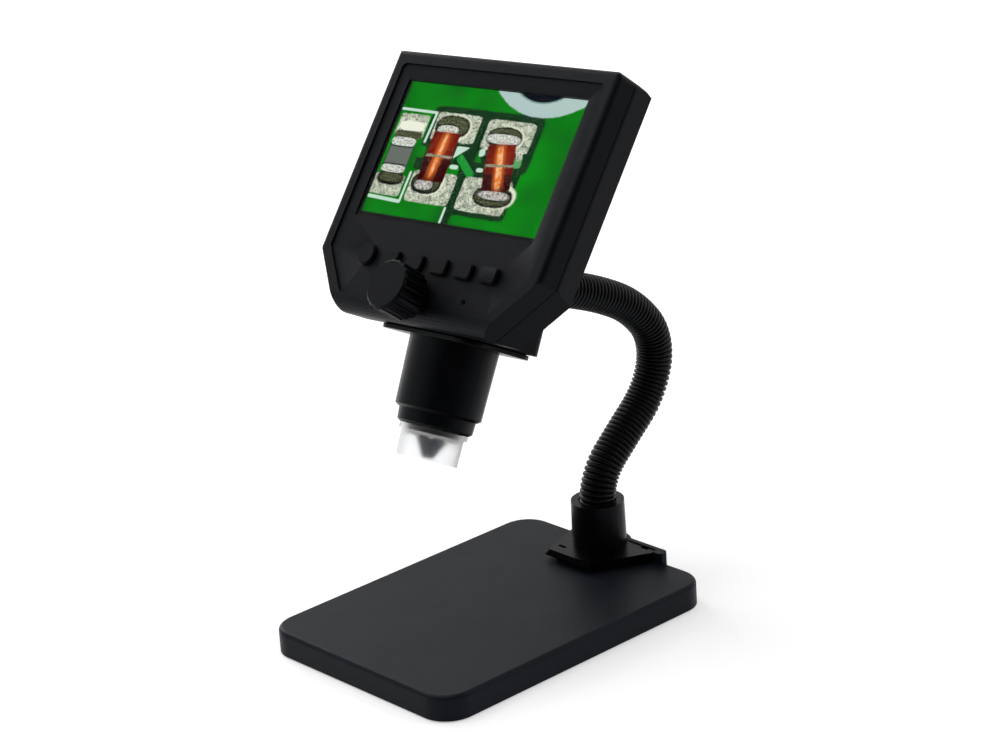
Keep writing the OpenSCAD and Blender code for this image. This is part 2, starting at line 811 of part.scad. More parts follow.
module focus_knob() {
    color("#161719") in_head() translate([shaft_at.x, 0, shaft_at.y]) rotate([90, 0, 0]) difference() {
        union() {
            translate([0, 0, 3]) cylinder(r = knob_r, h = knob_out - 4);
            translate([0, 0, knob_out - 1]) cylinder(r1 = knob_r, r2 = knob_r - 1, h = 1);
            translate([0, 0, 0.6]) cylinder(r = knob_r - 1.6, h = 3);
        }
        for (k = [0 : knob_grips - 1]) rotate([0, 0, 360 / knob_grips * k])
            translate([knob_r + 0.35, 0, -1]) cylinder(r = 0.9, h = knob_out + 3, $fn = 24);
        translate([0, 0, -1]) cylinder(r = shaft_r, h = 11);
    }
}

// Involute angle at radius r of a gear with base circle b
function roll_angle(r, b) = (sqrt(max(r * r / (b * b) - 1, 0)) * 180 / PI) - acos(min(b / r, 1));

function tooth_half(r) =
    let (b = pitch_r * cos(pressure))
    let (play = tooth_play / pitch_r * 180 / PI)
    90 / pinion_teeth - play + roll_angle(pitch_r, b) - roll_angle(max(r, b), b);

module pinion() {
    root = pitch_r - tooth_in;
    radii = [root, pitch_r - tooth_out * 0.6, pitch_r - tooth_out * 0.2, pitch_r + tooth_out * 0.4,
        pitch_r + tooth_out];
    polygon([
        for (k = [0 : pinion_teeth - 1])
            let (mid = (k + 0.5) * 360 / pinion_teeth)
            each concat(
                [for (r = radii) r * [cos(mid - tooth_half(r)), sin(mid - tooth_half(r))]],
                [for (j = [len(radii) - 1 : -1 : 0])
                    radii[j] * [cos(mid + tooth_half(radii[j])), sin(mid + tooth_half(radii[j]))]]
            )
    ]);
}

module focus_shaft() {
    color("#a3a6aa") in_head() {
        pin_y(shaft_at, shaft_r, -10, pinion_y + pinion_w + 0.6);
        along_y(pinion_y, pinion_y + pinion_w) translate(shaft_at) pinion();
    }
}

module shaft_bush() {
    color("#b08d57") in_head() difference() {
        pin_y(shaft_at, 4, recess, 9);
        pin_y(shaft_at, shaft_r + fit / 2, 0, 10);
    }
}

// ---------- barrel ----------

// Rack teeth in the plane of the screen; the teeth run front to back, like the pinion's
module rack_teeth(count) {
    pitch = PI * tooth_module;
    slope = tan(pressure);
    half = pitch / 4 - tooth_play;
    for (k = [-count : count]) translate([shaft_at.x + pitch_r, shaft_at.y + pitch * k]) polygon([
        [-tooth_out, half - tooth_out * slope], [tooth_in + eps, half + tooth_in * slope],
        [tooth_in + eps, -half - tooth_in * slope], [-tooth_out, -half + tooth_out * slope]
    ]);
}

module lens_carriage() {
    rack_x = shaft_at.x + pitch_r + tooth_in;
    color("#2c2d30") {
        in_barrel() difference() {
            translate([0, 0, carriage_low]) cylinder(r = bore_r - fit, h = carriage_high - carriage_low);
            translate([0, 0, carriage_low + 4.5]) cylinder(r = 9, h = 40);
            translate([0, 0, carriage_low - 1]) cylinder(r = 7, h = 40);
            // slot that the pinion reaches through
            translate([shaft_at.x - pitch_r - 1.2, -20, carriage_low + 4.5])
                cube([rack_x - shaft_at.x + pitch_r + 1.2, 17, 40]);
        }
        in_barrel() intersection() {
            translate([rack_x, -10.8, carriage_low + 3]) cube([2.6, 6, carriage_high - carriage_low - 3]);
            translate([0, 0, carriage_low]) cylinder(r = bore_r - fit, h = 60);
        }
        intersection() {
            in_head() along_y(12, 30) rack_teeth(6);
            in_barrel() translate([0, -10.8, carriage_low + 5.5])
                cube([20, 5.9, carriage_high - carriage_low - 6]);
        }
    }
}

module objective_lens() {
    color("#9fc3d8", 0.6) in_barrel() translate([0, 0, carriage_low + 1]) cylinder(r = 7, h = 3);
}

module barrel_tube() {
    color("#18191b") difference() {
        in_barrel() difference() {
            union() {
                translate([0, 0, -barrel_len + 1])
                    cylinder(r1 = barrel_r - 0.6, r2 = barrel_r, h = barrel_len - 1 + under_low);
                translate([0, 0, -barrel_len]) cylinder(r1 = barrel_r - 2, r2 = barrel_r - 0.6, h = 1);
                translate([0, 0, under_low - eps]) cylinder(r = inner_tube_r, h = tube_top - under_low);
            }
            translate([0, 0, -barrel_len - 1]) cylinder(r = bore_r, h = barrel_len + tube_top + 2);
        }
        // way in for the focus pinion
        in_head() pin_y(shaft_at, pitch_r + 1.2, 5, pinion_y);
    }
}

module bottom_plate() {
    color("#1c1d20") in_barrel() difference() {
        union() {
            // a shadow gap is left all round under the chin
            block(under_plate.x - 2 * under_lip, under_plate.y - 2 * under_lip, 0,
                chin_rise * cos(barrel_tilt), 7);
            block(under_plate.x, under_plate.y, under_low, under_top, 8);
        }
        translate([0, 0, -5]) cylinder(r = inner_tube_r, h = 10);
    }
}

module sensor_board() {
    color("#14532d") in_barrel() {
        translate([-12, -12, tube_top]) cube([24, 24, 1.6]);
        translate([-4, -4, tube_top - 1.2]) cube([8, 8, 1.3]);
    }
}

module nose_ring() {
    color("#141517") in_barrel() difference() {
        union() {
            translate([0, 0, nose_low + 1]) cylinder(r1 = 14.3, r2 = 14.6, h = -nose_low - 1 - barrel_len);
            translate([0, 0, nose_low]) cylinder(r1 = 13, r2 = 14.3, h = 1);
            translate([0, 0, -barrel_len - eps]) cylinder(r = bore_r - fit / 2, h = 3);
            translate([0, 0, nose_low - 2]) cylinder(r = hood_r - 1.2, h = 2.5);
        }
        translate([0, 0, nose_low - 3]) cylinder(r = 5, h = 20);
        translate([0, 0, nose_low + 2]) cylinder(r = 11.5, h = 20);
    }
}

module led_board() {
    color("#e8e8e4") in_barrel() difference() {
        translate([0, 0, nose_low - 3]) cylinder(r = hood_r - 1.2, h = 1);
        translate([0, 0, nose_low - 4]) cylinder(r = 6.4, h = 3);
    }
}

module leds() {
    color("#f2e7b0") in_barrel() for (k = [0 : 7]) rotate([0, 0, 45 * k])
        translate([7.3, -0.9, nose_low - 3.7]) cube([2.4, 1.8, 0.7]);
}

module lens_nose() {
    color("#3b3d40") in_barrel() difference() {
        union() {
            translate([0, 0, nose_low - 3]) cylinder(r = 6.4, h = 1);
            translate([0, 0, nose_low - 11]) cylinder(r1 = 2, r2 = 6.4, h = 8);
            translate([0, 0, nose_low - 2 - eps]) cylinder(r = 5, h = 4);
        }
        translate([0, 0, nose_low - 12]) cylinder(r1 = 1.2, r2 = 4.4, h = 16);
    }
}

module clear_hood() {
    color("#dfe6ea", 0.35) in_barrel() difference() {
        union() {
            translate([0, 0, nose_low - 2]) cylinder(r = hood_r + 1.2, h = 1.9);
            translate([0, 0, nose_low - hood_len]) cylinder(r1 = hood_r - 0.2, r2 = hood_r, h = hood_len - 1);
        }
        translate([0, 0, nose_low - hood_len - 1]) cylinder(r = hood_r - 1.2 + fit, h = hood_len + 2);
    }
}

// ---------- drawing ----------

base_shell();
base_cover();
steel_weight();
base_feet();
base_screws();
socket_plate();
neck_ferrule();
neck_nut();
for (i = [1 : links]) {
    neck_link(i - 1);
    neck_sleeve(i - 1);
}
neck_end();
socket_nut();
head_socket();
front_shell();
rear_shell();
screen_window();
lcd_panel();
main_board();
board_chips();
battery();
battery_cover();
usb_port();
card_slot();
case_screws();
key_switches();
key(0);  // power_button
for (i = [1 : 5]) {
    key(i);
}
brightness_wheel();
focus_knob();
focus_shaft();
shaft_bush();
lens_carriage();
objective_lens();
barrel_tube();
bottom_plate();
sensor_board();
nose_ring();
led_board();
leds();
lens_nose();
clear_hood();
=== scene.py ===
import json
import math

import bmesh
import bpy
from mathutils import Matrix, Vector


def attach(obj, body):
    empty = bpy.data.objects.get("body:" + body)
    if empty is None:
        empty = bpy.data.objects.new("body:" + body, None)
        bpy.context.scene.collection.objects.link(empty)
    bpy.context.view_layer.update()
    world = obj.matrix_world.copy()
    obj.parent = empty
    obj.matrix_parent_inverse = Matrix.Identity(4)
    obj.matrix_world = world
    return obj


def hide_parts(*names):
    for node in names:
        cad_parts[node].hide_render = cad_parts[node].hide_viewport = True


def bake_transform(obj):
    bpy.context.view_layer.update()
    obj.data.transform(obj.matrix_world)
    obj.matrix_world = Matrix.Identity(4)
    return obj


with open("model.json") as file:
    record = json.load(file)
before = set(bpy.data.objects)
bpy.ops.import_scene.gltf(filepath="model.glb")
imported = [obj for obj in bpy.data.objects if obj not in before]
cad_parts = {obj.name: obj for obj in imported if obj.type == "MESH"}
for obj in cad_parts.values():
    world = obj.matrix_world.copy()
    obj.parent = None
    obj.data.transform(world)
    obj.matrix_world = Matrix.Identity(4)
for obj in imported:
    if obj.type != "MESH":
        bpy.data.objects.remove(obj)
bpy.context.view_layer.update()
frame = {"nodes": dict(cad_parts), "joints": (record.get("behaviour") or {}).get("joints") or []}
scene = bpy.context.scene
scene.view_settings.view_transform = "Standard"

# ---------- camera ----------
# A long lens on a stand at the front right, about 1.1 m away and a little above the
# screen, rolled by a few degrees as a hand-levelled tripod head leaves it.
view_turn = math.radians(47.88)
view_rise = math.radians(20.28)
view_roll = math.radians(-3.74)
view_from = Vector((0.7636, -0.677, 0.480))
sensor_width = 36
focal_share = 2.907

to_camera = Vector(
    (
        math.sin(view_turn) * math.cos(view_rise),
        -math.cos(view_turn) * math.cos(view_rise),
        math.sin(view_rise),
    )
)
level_right = Vector((math.cos(view_turn), math.sin(view_turn), 0))
level_up = to_camera.cross(level_right)
camera_right = math.cos(view_roll) * level_right + math.sin(view_roll) * level_up
camera_up = math.cos(view_roll) * level_up - math.sin(view_roll) * level_right

camera_data = bpy.data.cameras.new("camera")
camera_data.sensor_fit = "HORIZONTAL"
camera_data.sensor_width = sensor_width
camera_data.lens = sensor_width * focal_share
camera_data.clip_end = 20
camera = bpy.data.objects.new("camera", camera_data)
scene.collection.objects.link(camera)
camera.matrix_world = Matrix.Translation(view_from) @ Matrix(
    (camera_right, camera_up, to_camera)
).transposed().to_4x4()
scene.camera = camera

# ---------- studio ----------
# A white table and a white surround that is dim only on the side of the camera, lit by a
# wide soft box overhead and two narrow ones at the left and behind on the right.
white = (1, 1, 1, 1)
room_fill = 0.36
dim_side = (0.96, -0.28, 0)
dim_from, dim_to, dim_level = -0.1, 0.6, 0.12
table_radius = 6
table_near, table_far = 0.25, 1.4
table_near_fill, table_far_fill = 0.42, 0.75
mirror_full, mirror_none = 0.05, 0.4


def wired(tree, kind, settings=None, **inputs):
    """A new node; inputs are values or sockets, by name or as i0, i1 for places."""
    node = tree.nodes.new(kind)
    for key, value in (settings or {}).items():
        setattr(node, key, value)
    for key, value in inputs.items():
        by_place = key[0] == "i" and key[1:].isdigit()
        socket = node.inputs[int(key[1:]) if by_place else key.replace("_", " ").title()]
        if isinstance(value, bpy.types.NodeSocket):
            tree.links.new(value, socket)
        else:
            socket.default_value = value
    return node


def calc(tree, operation, a, b=0.0, clamp=False):
    """One step of arithmetic on values or sockets."""
    settings = {"operation": operation, "use_clamp": clamp}
    return wired(tree, "ShaderNodeMath", settings, i0=a, i1=b).outputs[0]


def ramp(tree, value, start, end, low=0.0, high=1.0, smooth="LINEAR"):
    """Carries a value over from one range to another."""
    settings = {"interpolation_type": smooth}
    stops = {"i1": start, "i2": end, "i3": low, "i4": high}
    return wired(tree, "ShaderNodeMapRange", settings, value=value, **stops).outputs["Result"]


def new_finish(name):
    """A material with its tree and its surface shader."""
    finish = bpy.data.materials.new(name)
    finish.use_nodes = True
    return finish, finish.node_tree, finish.node_tree.nodes["Principled BSDF"]


def soft_box(name, place, target, size, watts):
    """A rectangular lamp that looks from its place to a target."""
    lamp = bpy.data.lights.new(name, "AREA")
    lamp.shape = "RECTANGLE"
    lamp.size, lamp.size_y = size
    lamp.energy = watts
    box = bpy.data.objects.new(name, lamp)
    scene.collection.objects.link(box)
    box.location = place
    box.rotation_euler = (Vector(target) - Vector(place)).to_track_quat("-Z", "Y").to_euler()


world = bpy.data.worlds.new("white_surround")
scene.world = world
world.use_nodes = True
sky = world.node_tree
sky_ray = sky.nodes.new("ShaderNodeLightPath").outputs
sky_seen = calc(sky, "MAXIMUM", sky_ray["Is Camera Ray"], sky_ray["Is Transmission Ray"])
sky_side = wired(
    sky, "ShaderNodeVectorMath", {"operation": "DOT_PRODUCT"},
    i0=sky.nodes.new("ShaderNodeTexCoord").outputs["Generated"], i1=dim_side,
).outputs["Value"]
sky_now = wired(
    sky, "ShaderNodeMix", factor=sky_ray["Is Glossy Ray"],
    a=ramp(sky, sky_seen, 0.0, 1.0, room_fill, 1.0),
    b=ramp(sky, sky_side, dim_from, dim_to, 1.0, dim_level),
)
sky.links.new(sky_now.outputs["Result"], sky.nodes["Background"].inputs["Strength"])
sky.nodes["Background"].inputs["Color"].default_value = white

soft_box("left_soft_box", (-1.5, 0.35, 0.75), (0, 0, 0.12), (0.6, 0.9), watts=8)
soft_box("right_soft_box", (1.1, 0.95, 0.8), (0, 0, 0.12), (0.5, 1.0), watts=5)
soft_box("overhead_soft_box", (-0.35, -0.25, 1.55), (0, 0, 0.1), (1.3, 1.3), watts=12)

table_mesh = bpy.data.meshes.new("table")
sheet = bmesh.new()
bmesh.ops.create_circle(sheet, cap_ends=True, segments=96, radius=table_radius)
sheet.to_mesh(table_mesh)
sheet.free()
table = bpy.data.objects.new("table", table_mesh)
scene.collection.objects.link(table)

table_white, tone, table_surface = new_finish("table_white")
table_surface.inputs["Base Color"].default_value = (0.8, 0.8, 0.8, 1)
table_surface.inputs["Roughness"].default_value = 0.9
table_surface.inputs["Specular IOR Level"].default_value = 0.1
table_surface.inputs["Emission Color"].default_value = white
table_at = tone.nodes.new("ShaderNodeTexCoord").outputs["Object"]
table_away = wired(tone, "ShaderNodeVectorMath", {"operation": "LENGTH"}, i0=table_at).outputs["Value"]
table_right = wired(tone, "ShaderNodeSeparateXYZ", i0=table_at).outputs["X"]
table_ray = tone.nodes.new("ShaderNodeLightPath").outputs
table_seen = calc(tone, "MAXIMUM", table_ray["Is Camera Ray"], table_ray["Is Transmission Ray"])
table_mirrored = calc(
    tone, "MULTIPLY", table_ray["Is Glossy Ray"],
    ramp(tone, table_right, mirror_full, mirror_none, 1.0, 0.0),
)
table_glow = calc(
    tone, "MULTIPLY", calc(tone, "MAXIMUM", table_seen, table_mirrored),
    ramp(tone, table_away, table_near, table_far, table_near_fill, table_far_fill),
)
tone.links.new(table_glow, table_surface.inputs["Emission Strength"])
table_mesh.materials.append(table_white)

# ---------- base ----------
# A weighted foot moulded in black ABS with a fine spark-eroded grain and rounded edges,
# closed underneath by a screwed cover that carries a steel plate and five rubber feet.
base_dark = (0.0045, 0.0056, 0.0085)
base_light = (0.0062, 0.0075, 0.0110)
mm_per_m = 1000.0
cell_pace = 700.0
cell_height = 0.5
speck_pace = 900.0
speck_edge = (0.70, 0.78)
patch_range = (0.3, 0.7)
dust_grey = (0.25, 0.25, 0.25)
grain_depth = 0.0002
cool_tint = (0.86, 0.93, 1, 1)
scratch_depth = 0.0001
scratch_pace = 120

grain = bpy.data.node_groups.new("moulded_grain", "ShaderNodeTree")
for label in ("Grain Size", "Blotch Size"):
    grain.interface.new_socket(label, in_out="INPUT", socket_type="NodeSocketFloat")
for label in ("Height", "Blotch", "Dust"):
    grain.interface.new_socket(label, in_out="OUTPUT", socket_type="NodeSocketFloat")
grain_in = grain.nodes.new("NodeGroupInput").outputs
grain_out = grain.nodes.new("NodeGroupOutput").inputs
grain_at = grain.nodes.new("ShaderNodeTexCoord").outputs["Object"]
fine = wired(
    grain, "ShaderNodeTexNoise", vector=grain_at, detail=2.0,
    scale=calc(grain, "DIVIDE", mm_per_m, grain_in["Grain Size"]),
).outputs["Fac"]
cells = wired(
    grain, "ShaderNodeTexVoronoi", vector=grain_at,
    scale=calc(grain, "DIVIDE", cell_pace, grain_in["Grain Size"]),
).outputs["Distance"]
broad = wired(
    grain, "ShaderNodeTexNoise", vector=grain_at, detail=4.0,
    scale=calc(grain, "DIVIDE", mm_per_m, grain_in["Blotch Size"]),
).outputs["Fac"]
specks = wired(grain, "ShaderNodeTexNoise", vector=grain_at, detail=1.0, scale=speck_pace).outputs["Fac"]
facing = grain.nodes.new("ShaderNodeNewGeometry").outputs["Normal"]
facing_up = wired(grain, "ShaderNodeSeparateXYZ", i0=facing).outputs["Z"]
grain.links.new(
    calc(grain, "ADD", fine, calc(grain, "MULTIPLY", cells, cell_height)), grain_out["Height"]
)
grain.links.new(broad, grain_out["Blotch"])
grain.links.new(
    calc(grain, "MULTIPLY", ramp(grain, specks, *speck_edge), facing_up, clamp=True), grain_out["Dust"]
)


def blended(tree, share, first, second):
    """The second colour over the first by the share."""
    mix = tree.nodes.new("ShaderNodeMix")
    mix.data_type = "RGBA"
    for identifier, value in (("Factor_Float", share), ("A_Color", first), ("B_Color", second)):
        socket = next(s for s in mix.inputs if s.identifier == identifier)
        if isinstance(value, bpy.types.NodeSocket):
            tree.links.new(value, socket)
        else:
            socket.default_value = (*value, 1) if isinstance(value, tuple) else value
    return next(s for s in mix.outputs if s.identifier == "Result_Color")


def moulded(name, dark, light, rough, bump, grain_mm=0.35, blotch_mm=9.0, specular=0.3, dust=0.1):
    """Moulded plastic: fine grain, slow patches of tone and gloss, and a little dust on top."""
    finish, tree, surface = new_finish(name)
    skin = wired(
        tree, "ShaderNodeGroup", {"node_tree": grain}, grain_size=grain_mm, blotch_size=blotch_mm
    ).outputs
    tone_now = blended(tree, ramp(tree, skin["Blotch"], *patch_range), dark, light)
    dusty = blended(tree, calc(tree, "MULTIPLY", skin["Dust"], dust), tone_now, dust_grey)
    tree.links.new(dusty, surface.inputs["Base Color"])
    tree.links.new(ramp(tree, skin["Blotch"], *patch_range, *rough), surface.inputs["Roughness"])
    relief = wired(tree, "ShaderNodeBump", strength=bump, distance=grain_depth, height=skin["Height"])
    tree.links.new(relief.outputs["Normal"], surface.inputs["Normal"])
    surface.inputs["Specular IOR Level"].default_value = specular
    surface.inputs["Specular Tint"].default_value = cool_tint
    return finish


def metal(name, dark, light, rough, scratch_mm=0.6):
    """Turned or rolled metal with fine scratches drawn along one direction."""
    finish, tree, surface = new_finish(name)
    where = tree.nodes.new("ShaderNodeTexCoord").outputs["Object"]
    across = mm_per_m / scratch_mm
    drawn = wired(tree, "ShaderNodeMapping", vector=where, scale=(across, scratch_pace, across))
    scratches = wired(tree, "ShaderNodeTexNoise", vector=drawn.outputs["Vector"], scale=1.0, detail=3.0)
    share = scratches.outputs["Fac"]
    tree.links.new(blended(tree, share, dark, light), surface.inputs["Base Color"])
    tree.links.new(ramp(tree, share, *patch_range, *rough), surface.inputs["Roughness"])
    relief = wired(tree, "ShaderNodeBump", strength=0.15, distance=scratch_depth, height=share)
    tree.links.new(relief.outputs["Normal"], surface.inputs["Normal"])
    surface.inputs["Metallic"].default_value = 1.0
    return finish


def dress(finish, *nodes):
    """Gives CAD nodes a finish in all their slots."""
    for name in nodes:
        mesh = frame["nodes"][name].data
        if not mesh.materials:
            mesh.materials.append(finish)
        for place in range(len(mesh.materials)):
            mesh.materials[place] = finish


base_plastic = moulded(
    "base_plastic", base_dark, base_light, (0.40, 0.46), 0.25, blotch_mm=16.0, specular=0.08, dust=0.05
)
cover_plastic = moulded(
    "base_cover_plastic", base_dark, base_light, (0.55, 0.62), 0.3, grain_mm=0.5
)
foot_rubber = moulded("foot_rubber", (0.012, 0.012, 0.012), (0.02, 0.02, 0.02), (0.75, 0.85), 0.4)
screw_steel = metal("screw_steel", (0.16, 0.16, 0.17), (0.26, 0.26, 0.27), (0.3, 0.42))
weight_steel = metal(
    "weight_steel", (0.2, 0.19, 0.18), (0.36, 0.35, 0.34), (0.4, 0.6), scratch_mm=1.5
)
dress(base_plastic, "base_shell")
dress(cover_plastic, "base_cover")
dress(foot_rubber, "base_feet")
dress(screw_steel, "base_screws")
dress(weight_steel, "steel_weight")

# ---------- socket plate and post ----------
# The plate snaps into the riser with four latches and carries the post that clamps the
# neck. It is moulded with a glossier skin than the base.
post_plastic = moulded(
    "post_plastic", (0.0006, 0.0006, 0.001), (0.0012, 0.0012, 0.002), (0.28, 0.34), 0.08, specular=0.09
)
dress(post_plastic, "socket_plate")

# ---------- neck ----------
# A steel gooseneck under a black rubber sleeve that is moulded in narrow ribs. Six lengths of
# it are soft, each over the two links that it covers; they are built where they lie and ride on
# no body. The last length is a stiff collar on the head's fitting, and a stiff lip of the length
# before it reaches inside.
rib_pitch = 0.00195
rib_top = 0.00725
rib_depth = 0.00105
rib_shape = (
    (0.0, 0.0), (0.05, 0.32), (0.14, 0.66), (0.28, 0.92), (0.45, 1.0),
    (0.62, 0.98), (0.78, 0.84), (0.9, 0.55), (0.97, 0.2),
)
neck_sides = 56
soft_lengths = 6
foot_rib = -1
socket_reach = 0.0125
ribs_in_socket = 6
lip_height = -0.29
lip_span = (0.03, 1.3)
nearly_straight = 1e-4
first_link_start = Vector((0, 0.061, 0.031))
bend_names = (
    "lower_bend", "lower_bend_b", "side_bend", "upper_bend", "upper_bend_b", "side_bend_b",
    "upper_bend_c", "head_swivel",
)
by_joint = {j["name"]: j for j in frame["joints"]}
knuckles = [first_link_start] + [Vector(by_joint[name]["pos_m"]) for name in bend_names]

links = []
middles = []
joint_after = []
lean = 0.0
neck_length = 0.0
for start, end in zip(knuckles, knuckles[1:]):
    chord = end - start
    turn = 2 * (math.atan2(chord.y, chord.z) - lean)
    turn = (turn + math.pi) % (2 * math.pi) - math.pi
    half = abs(turn) / 2
    span = chord.length * (half / math.sin(half) if half > nearly_straight else 1)
    links.append((start, lean, turn, span))
    lean += turn
    middles.append(neck_length + span / 2)
    neck_length += span
    joint_after.append(neck_length)


def neck_point(distance):
    """The neck's centre line: the place and the lean at a distance from its foot."""
    left = distance
    for start, lean_0, turn, span in links[:-1]:
        if left <= span:
            break
        left -= span
    else:
        start, lean_0, turn, span = links[-1]
    lean_now = lean_0 + turn * left / span
    if abs(turn) < nearly_straight or left < 0:
        step = Vector((0, math.sin(lean_0), math.cos(lean_0))) * left
        return start + step, lean_0 if left < 0 else lean_now
    radius = span / turn
    step = Vector((0, math.cos(lean_0) - math.cos(lean_now), math.sin(lean_now) - math.sin(lean_0)))
    return start + step * radius, lean_now


def grid_mesh(name, rings, closed_rings=True):
    """A mesh from rings of points that follow each other."""
    mesh = bpy.data.meshes.new(name)
    count = len(rings[0])
    faces = []
    for row in range(len(rings) - 1):
        low, high = row * count, (row + 1) * count
        for k in range(count if closed_rings else count - 1):
            after = (k + 1) % count
            faces.append((low + k, low + after, high + after, high + k))
    mesh.from_pydata([p for ring in rings for p in ring], [], faces)
    for face in mesh.polygons:
        face.use_smooth = True
    return mesh


def placed(name, mesh, finish, body, matrix=None):
    """A new piece with its finish, that rides on a body or stands on no body."""
    piece = bpy.data.objects.new(name, mesh)
    scene.collection.objects.link(piece)
    mesh.materials.append(finish)
    if matrix is not None:
        piece.matrix_world = matrix
    if body:
        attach(piece, body)
    return piece


neck_rubber = moulded(
    "neck_rubber", (0.0005, 0.0005, 0.0008), (0.001, 0.001, 0.0015), (0.32, 0.4), 0.1,
    grain_mm=0.3, blotch_mm=5.0, specular=0.12, dust=0.04,
)
rib_count = round(neck_length / rib_pitch)
rib_step = neck_length / rib_count
last_knuckle_rib = round(joint_after[soft_lengths] / rib_step)
last_rib_of_all = rib_count - round(socket_reach / rib_step) + ribs_in_socket
cuts = [foot_rib] + [round(m / rib_step) for m in middles[1:-1]] + [last_knuckle_rib, last_rib_of_all]
for number, (first_rib, last_rib) in enumerate(zip(cuts, cuts[1:])):
    stations = [(rib + p, h) for rib in range(first_rib, last_rib) for p, h in rib_shape]
    stations.append((last_rib, 0.0))
    if number == soft_lengths:
        stations += [(last_rib + reach, lip_height) for reach in lip_span]
    rings = []
    for rib, height in stations:
        centre, lean_now = neck_point(rib * rib_step)
        radius = rib_top - rib_depth * (1 - height)
        across = Vector((0, math.cos(lean_now), -math.sin(lean_now)))
        rings.append(
            [
                centre + radius * (math.cos(a) * Vector((1, 0, 0)) + math.sin(a) * across)
                for a in (2 * math.pi * k / neck_sides for k in range(neck_sides))
            ]
        )
    name = f"neck_skin_{number + 1}"
    body = f"neck_{number + 1}"
    soft = number < soft_lengths
    skin = placed(name, grid_mesh(name, rings), neck_rubber, None if soft else body)
    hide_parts(f"neck_sleeve_{number + 1}")
    if soft:
        _, lean_there = neck_point(joint_after[number])
        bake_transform(skin)

turned_steel = metal("turned_steel", (0.35, 0.35, 0.36), (0.5, 0.5, 0.51), (0.25, 0.38))
link_steel = metal("link_steel", (0.18, 0.18, 0.19), (0.3, 0.3, 0.3), (0.35, 0.5))
dress(turned_steel, "neck_ferrule", "neck_nut", "neck_end", "socket_nut", "focus_shaft")
dress(link_steel, *(f"neck_link_{n + 1}" for n in range(len(links))))
dress(post_plastic, "head_socket")

# ---------- head shells ----------
# Two halves of matt black ABS that meet in a seam, held by screws from the back. A raised
# rim runs round the front, and the rear half carries the housing of the barrel.
edge_steps = 3
knob_in_head = Vector((0.001, 0, -0.0565))


def soften(width_mm, *nodes, angle):
    """Rounds the moulded edges of CAD nodes by a small radius."""
    for name in nodes:
        part = frame["nodes"][name]
        weld = part.modifiers.new("weld", "WELD")
        weld.merge_threshold = 1e-6
        flat = part.modifiers.new("flat", "DECIMATE")
        flat.decimate_type = "DISSOLVE"
        flat.angle_limit = math.radians(0.4)
        edge = part.modifiers.new("edge", "BEVEL")
        edge.width = width_mm / mm_per_m
        edge.segments = edge_steps
        edge.limit_method = "ANGLE"
        edge.angle_limit = math.radians(angle)
        edge.harden_normals = True
        edge.use_clamp_overlap = True
        edge.miter_outer = "MITER_ARC"


head_plastic = moulded(
    "head_plastic", (0.0012, 0.0014, 0.0026), (0.002, 0.0023, 0.0038), (0.42, 0.48), 0.3,
    grain_mm=0.3, blotch_mm=9.0, specular=0.085, dust=0.03,
)
dress(head_plastic, "front_shell", "rear_shell", "battery_cover")
soften(0.45, "front_shell", "rear_shell", angle=30)
soften(0.2, "battery_cover", angle=35)

head_back = -Vector(by_joint["focus_turn"]["axis"])
head_up = Vector(by_joint["battery_slide"]["axis"])
head_right = head_back.cross(head_up)
head_turn = Matrix((head_right, head_back, head_up)).transposed()
head_origin = Vector(by_joint["focus_turn"]["pos_m"]) - head_turn @ knob_in_head
head_place = Matrix.Translation(head_origin) @ head_turn.to_4x4()

# ---------- display ----------
# A 4.3 inch panel behind a clear window. It is lit, and shows a close view of a soldered
# board with two glass diodes and a chip capacitor.
picture_w = 0.09504
picture_h = 0.05386
picture_depth = 0.00151
picture_shift = Vector((0.0008, 0, 0.0009))
half_w_mm = 47.52
half_h_mm = 26.93
tenths_to_half = 20
sheet_columns = 24
sheet_rows = 14

printed = bpy.data.node_groups.new("printed_shape", "ShaderNodeTree")
for label in ("Spot", "Centre", "Half Size"):
    printed.interface.new_socket(label, in_out="INPUT", socket_type="NodeSocketVector")
for label in ("Turn", "Squareness", "Softness"):
    printed.interface.new_socket(label, in_out="INPUT", socket_type="NodeSocketFloat")
printed.interface.new_socket("Mask", in_out="OUTPUT", socket_type="NodeSocketFloat")
shape_in = printed.nodes.new("NodeGroupInput").outputs
shape_out = printed.nodes.new("NodeGroupOutput").inputs


def vector_calc(tree, operation, first, second=(0, 0, 0)):
    """One step of vector arithmetic on values or sockets."""
    return wired(tree, "ShaderNodeVectorMath", {"operation": operation}, i0=first, i1=second).outputs[0]


moved = vector_calc(printed, "SUBTRACT", shape_in["Spot"], shape_in["Centre"])
turned = wired(
    printed, "ShaderNodeVectorRotate", {"rotation_type": "Z_AXIS"}, vector=moved, angle=shape_in["Turn"]
).outputs[0]
scaled = vector_calc(printed, "DIVIDE", turned, shape_in["Half Size"])
parts = wired(printed, "ShaderNodeSeparateXYZ", i0=vector_calc(printed, "ABSOLUTE", scaled)).outputs
powers = [calc(printed, "POWER", parts[axis], shape_in["Squareness"]) for axis in ("X", "Y")]
root = calc(printed, "DIVIDE", 1.0, shape_in["Squareness"])
away = calc(printed, "POWER", calc(printed, "ADD", *powers), root)
edge_in = calc(printed, "SUBTRACT", 1.0, shape_in["Softness"])
edge_out = calc(printed, "ADD", 1.0, shape_in["Softness"])
printed.links.new(ramp(printed, away, edge_in, edge_out, 1.0, 0.0, "SMOOTHSTEP"), shape_out["Mask"])

